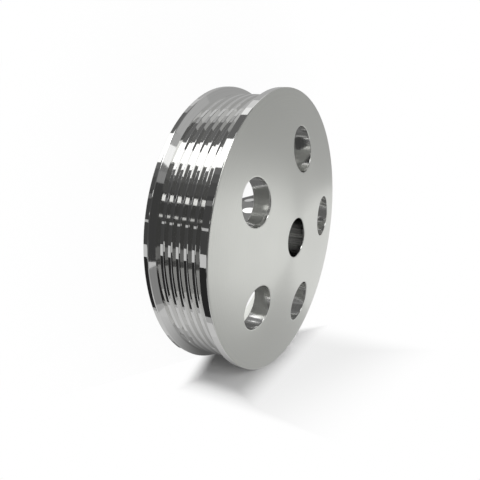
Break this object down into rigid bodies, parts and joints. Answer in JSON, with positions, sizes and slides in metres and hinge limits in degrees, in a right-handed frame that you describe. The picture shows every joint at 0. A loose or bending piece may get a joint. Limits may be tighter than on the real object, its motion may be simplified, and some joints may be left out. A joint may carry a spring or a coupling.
{
  "type": "ribbed belt pulley",
  "caption": "One-piece aluminium pulley for a ribbed belt, with flanged V-ribs, a crowned drilled face, a hollow back and a plain shaft bore.",
  "frame": {"origin": "on the bore axis, in the plane of the rim's back face", "axes": "+Z along the bore towards the crowned front face, +Y through the centre of a lightening hole"},
  "size_m": [0.122, 0.122, 0.0358],
  "materials": {
    "billet_aluminium": "satin turned face, polished rim, ribs and hole walls"
  },
  "bodies": {
    "root": {"pulley": "billet_aluminium"}
  },
  "joints": []
}
